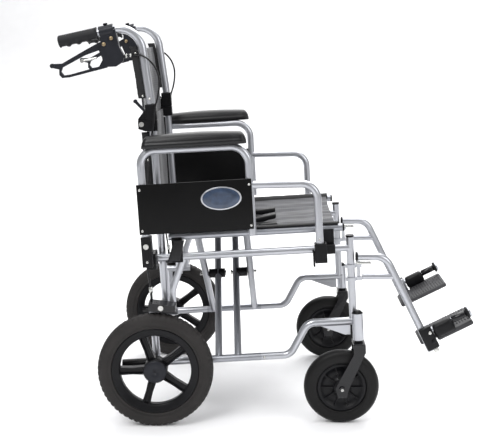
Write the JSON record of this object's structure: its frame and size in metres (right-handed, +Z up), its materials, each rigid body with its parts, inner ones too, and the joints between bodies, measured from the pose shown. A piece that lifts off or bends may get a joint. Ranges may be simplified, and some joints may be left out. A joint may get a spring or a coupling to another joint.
{
  "type": "manual wheelchair",
  "caption": "Folding attendant-pushed wheelchair with sling seat, flip-back arms, swing-away footrests and hand brakes.",
  "frame": {"origin": "on the floor under the centre of the bounding box", "axes": "+X forward, towards the footplates; +Y to the user's left; +Z up"},
  "size_m": [1.1088, 0.666, 1.053],
  "materials": {
    "frame": "satin silver paint over aluminium tube",
    "black_plastic": "moulded, fine texture",
    "grip_rubber": "soft matt",
    "tyre": "solid tyre, matt",
    "wheel_plastic": "moulded nylon, half gloss",
    "fork": "black powder coat",
    "steel": "zinc plated",
    "brace_paint": "satin silver",
    "fabric": "woven nylon",
    "pad": "soft urethane",
    "panel": "textured skirt panel",
    "webbing": "belt webbing",
    "plate": "ribbed grey footplate",
    "lever": "black coated cast lever"
  },
  "bodies": {
    "right_frame": {"right_side_frame": "frame", "right_frame_fittings": "black_plastic", "right_frame_bolts": "steel", "right_cable_lower": "black_plastic", "back_lower": "fabric"},
    "right_rear_wheel": {"right_rear_wheel": "wheel_plastic", "right_rear_tyre": "tyre"},
    "right_fork": {"right_caster_fork": "fork"},
    "right_caster": {"right_caster_wheel": "wheel_plastic", "right_caster_tyre": "grip_rubber"},
    "right_cane": {"right_push_cane": "frame", "right_cane_hinge": "black_plastic", "right_grip": "grip_rubber", "right_brake_housing": "lever", "right_cable_upper": "black_plastic", "back_upper": "fabric"},
    "right_release": {"right_hinge_release": "lever"},
    "right_hand_lever": {"right_brake_lever": "lever"},
    "right_tab": {"right_parking_tab": "steel"},
    "right_shoe": {"right_wheel_brake": "fork"},
    "right_arm": {"right_arm_frame": "frame", "right_arm_pad": "pad", "right_side_panel": "panel"},
    "right_arm_lock": {"right_arm_lock": "black_plastic"},
    "right_hanger": {"right_hanger": "frame"},
    "right_latch": {"right_hanger_latch": "steel"},
    "right_footplate": {"right_footplate": "plate"},
    "left_frame": {"left_side_frame": "frame", "left_frame_fittings": "black_plastic", "left_frame_bolts": "steel", "left_cable_lower": "black_plastic"},
    "left_rear_wheel": {"left_rear_wheel": "wheel_plastic", "left_rear_tyre": "tyre"},
    "left_fork": {"left_caster_fork": "fork"},
    "left_caster": {"left_caster_wheel": "wheel_plastic", "left_caster_tyre": "grip_rubber"},
    "left_cane": {"left_push_cane": "frame", "left_cane_hinge": "black_plastic", "left_grip": "grip_rubber", "left_brake_housing": "lever", "left_cable_upper": "black_plastic"},
    "left_release": {"left_hinge_release": "lever"},
    "left_hand_lever": {"left_brake_lever": "lever"},
    "left_tab": {"left_parking_tab": "steel"},
    "left_shoe": {"left_wheel_brake": "fork"},
    "left_arm": {"left_arm_frame": "frame", "left_arm_pad": "pad", "left_side_panel": "panel"},
    "left_arm_lock": {"left_arm_lock": "black_plastic"},
    "left_hanger": {"left_hanger": "frame"},
    "left_latch": {"left_hanger_latch": "steel"},
    "left_footplate": {"left_footplate": "plate"},
    "brace_a": {"brace_a": "brace_paint", "cross_bolts": "steel", "cross_saddles": "black_plastic"},
    "brace_b": {"brace_b": "brace_paint"},
    "seat_right": {"right_seat_half": "fabric", "right_belt_half": "webbing"},
    "seat_left": {"left_seat_half": "fabric", "left_belt_half": "webbing"}
  },
  "joints": [
    {"name": "frame_fold", "type": "hinge", "parent": "right_frame", "child": "brace_a", "pos_m": [-0.097, -0.235, 0.16759], "axis": [0.9982, 0, 0.0593], "range_deg": [0, 31.5], "deforming": ["right_seat_half", "left_seat_half", "back_lower", "back_upper", "right_belt_half", "left_belt_half"]},
    {"name": "brace_cross", "type": "hinge", "parent": "brace_a", "child": "brace_b", "pos_m": [-0.10741, 0, 0.34278], "axis": [0.9982, 0, 0.0593], "range_deg": [-63.5, 0]},
    {"name": "left_frame_pivot", "type": "hinge", "parent": "brace_b", "child": "left_frame", "pos_m": [-0.097, 0.235, 0.16759], "axis": [0.9982, 0, 0.0593], "range_deg": [0, 32]},
    {"name": "seat_right_drop", "type": "hinge", "parent": "brace_b", "child": "seat_right", "pos_m": [-0.11698, -0.216, 0.5038], "axis": [0.9982, 0, 0.0593], "range_deg": [-31.46, 0]},
    {"name": "seat_left_drop", "type": "hinge", "parent": "seat_right", "child": "seat_left", "pos_m": [-0.11759, 0, 0.51409], "axis": [0.9982, 0, 0.0593], "range_deg": [0, 125.41]},
    {"name": "right_wheel_spin", "type": "hinge", "parent": "right_frame", "child": "right_rear_wheel", "pos_m": [-0.2874, -0.281, 0.1525], "axis": [0, 1, 0], "continuous": true},
    {"name": "right_caster_swivel", "type": "hinge", "parent": "right_frame", "child": "right_fork", "pos_m": [0.24777, -0.258, 0.23215], "axis": [-0.0593, 0, 0.9982], "continuous": true},
    {"name": "right_caster_spin", "type": "hinge", "parent": "right_fork", "child": "right_caster", "pos_m": [0.2046, -0.258, 0.1], "axis": [0, 1, 0], "continuous": true},
    {"name": "right_back_fold", "type": "hinge", "parent": "right_frame", "child": "right_cane", "pos_m": [-0.31963, -0.2146, 0.79549], "axis": [0, -1, 0], "range_deg": [0, 110], "deforming": ["back_upper", "back_lower"]},
    {"name": "right_release_tilt", "type": "hinge", "parent": "right_cane", "child": "right_release", "pos_m": [-0.31322, -0.2146, 0.83093], "axis": [0, 1, 0], "range_deg": [0, 20]},
    {"name": "right_hand_brake", "type": "hinge", "parent": "right_cane", "child": "right_hand_lever", "pos_m": [-0.4134, -0.2146, 1.0007], "axis": [0, 1, 0], "range_deg": [0, 12], "stiffness_Nm_per_rad": 1.2},
    {"name": "right_parking_tab_tilt", "type": "hinge", "parent": "right_hand_lever", "child": "right_tab", "pos_m": [-0.4334, -0.2146, 0.966], "axis": [0, -1, 0], "range_deg": [0, 12]},
    {"name": "right_shoe_turn", "type": "hinge", "parent": "right_frame", "child": "right_shoe", "pos_m": [-0.271, -0.2146, 0.322], "axis": [0, 1, 0], "range_deg": [0, 2.4]},
    {"name": "right_arm_flip", "type": "hinge", "parent": "right_frame", "child": "right_arm", "pos_m": [-0.30435, -0.292, 0.48936], "axis": [0, -1, 0], "range_deg": [0, 100]},
    {"name": "right_arm_lock_tilt", "type": "hinge", "parent": "right_frame", "child": "right_arm_lock", "pos_m": [0.12414, -0.292, 0.47524], "axis": [0, 1, 0], "range_deg": [0, 25]},
    {"name": "right_hanger_swing", "type": "hinge", "parent": "right_frame", "child": "right_hanger", "pos_m": [0.22643, -0.235, 0.43123], "axis": [0.0593, 0, -0.9982], "range_deg": [0, 100]},
    {"name": "right_latch_turn", "type": "hinge", "parent": "right_hanger", "child": "right_latch", "pos_m": [0.2646, -0.235, 0.431], "axis": [0.0593, 0, -0.9982], "range_deg": [0, 20]},
    {"name": "right_footplate_flip", "type": "hinge", "parent": "right_hanger", "child": "right_footplate", "pos_m": [0.4286, -0.243, 0.244], "axis": [0.891, 0, 0.454], "range_deg": [0, 88]},
    {"name": "left_wheel_spin", "type": "hinge", "parent": "left_frame", "child": "left_rear_wheel", "pos_m": [-0.2874, 0.281, 0.1525], "axis": [0, 1, 0], "continuous": true},
    {"name": "left_caster_swivel", "type": "hinge", "parent": "left_frame", "child": "left_fork", "pos_m": [0.24777, 0.258, 0.23215], "axis": [-0.0593, 0, 0.9982], "continuous": true},
    {"name": "left_caster_spin", "type": "hinge", "parent": "left_fork", "child": "left_caster", "pos_m": [0.2046, 0.258, 0.1], "axis": [0, 1, 0], "continuous": true},
    {"name": "left_back_fold", "type": "hinge", "parent": "left_frame", "child": "left_cane", "pos_m": [-0.31963, 0.2146, 0.79549], "axis": [0, -1, 0], "range_deg": [0, 110], "deforming": ["back_upper", "back_lower"]},
    {"name": "left_release_tilt", "type": "hinge", "parent": "left_cane", "child": "left_release", "pos_m": [-0.31322, 0.2146, 0.83093], "axis": [0, 1, 0], "range_deg": [0, 20]},
    {"name": "left_hand_brake", "type": "hinge", "parent": "left_cane", "child": "left_hand_lever", "pos_m": [-0.4134, 0.2146, 1.0007], "axis": [0, 1, 0], "range_deg": [0, 12], "stiffness_Nm_per_rad": 1.2},
    {"name": "left_parking_tab_tilt", "type": "hinge", "parent": "left_hand_lever", "child": "left_tab", "pos_m": [-0.4334, 0.2146, 0.966], "axis": [0, -1, 0], "range_deg": [0, 12]},
    {"name": "left_shoe_turn", "type": "hinge", "parent": "left_frame", "child": "left_shoe", "pos_m": [-0.271, 0.2146, 0.322], "axis": [0, 1, 0], "range_deg": [0, 2.4]},
    {"name": "left_arm_flip", "type": "hinge", "parent": "left_frame", "child": "left_arm", "pos_m": [-0.30435, 0.292, 0.48936], "axis": [0, -1, 0], "range_deg": [0, 100]},
    {"name": "left_arm_lock_tilt", "type": "hinge", "parent": "left_frame", "child": "left_arm_lock", "pos_m": [0.12414, 0.292, 0.47524], "axis": [0, 1, 0], "range_deg": [0, 25]},
    {"name": "left_hanger_swing", "type": "hinge", "parent": "left_frame", "child": "left_hanger", "pos_m": [0.22643, 0.235, 0.43123], "axis": [-0.0593, 0, 0.9982], "range_deg": [0, 100]},
    {"name": "left_latch_turn", "type": "hinge", "parent": "left_hanger", "child": "left_latch", "pos_m": [0.2646, 0.235, 0.431], "axis": [-0.0593, 0, 0.9982], "range_deg": [0, 20]},
    {"name": "left_footplate_flip", "type": "hinge", "parent": "left_hanger", "child": "left_footplate", "pos_m": [0.4286, 0.243, 0.244], "axis": [-0.891, 0, -0.454], "range_deg": [0, 88]}
  ],
  "couplings": [
    {"joint": "brace_cross", "follows": "frame_fold", "ratio": -2},
    {"joint": "left_frame_pivot", "follows": "frame_fold", "ratio": 1},
    {"joint": "seat_right_drop", "follows": "frame_fold", "ratio": -0.98272},
    {"joint": "seat_left_drop", "follows": "frame_fold", "ratio": 3.9654},
    {"joint": "left_back_fold", "follows": "right_back_fold", "ratio": 1},
    {"joint": "right_shoe_turn", "follows": "right_hand_brake", "ratio": 0.19},
    {"joint": "left_shoe_turn", "follows": "left_hand_brake", "ratio": 0.19}
  ]
}
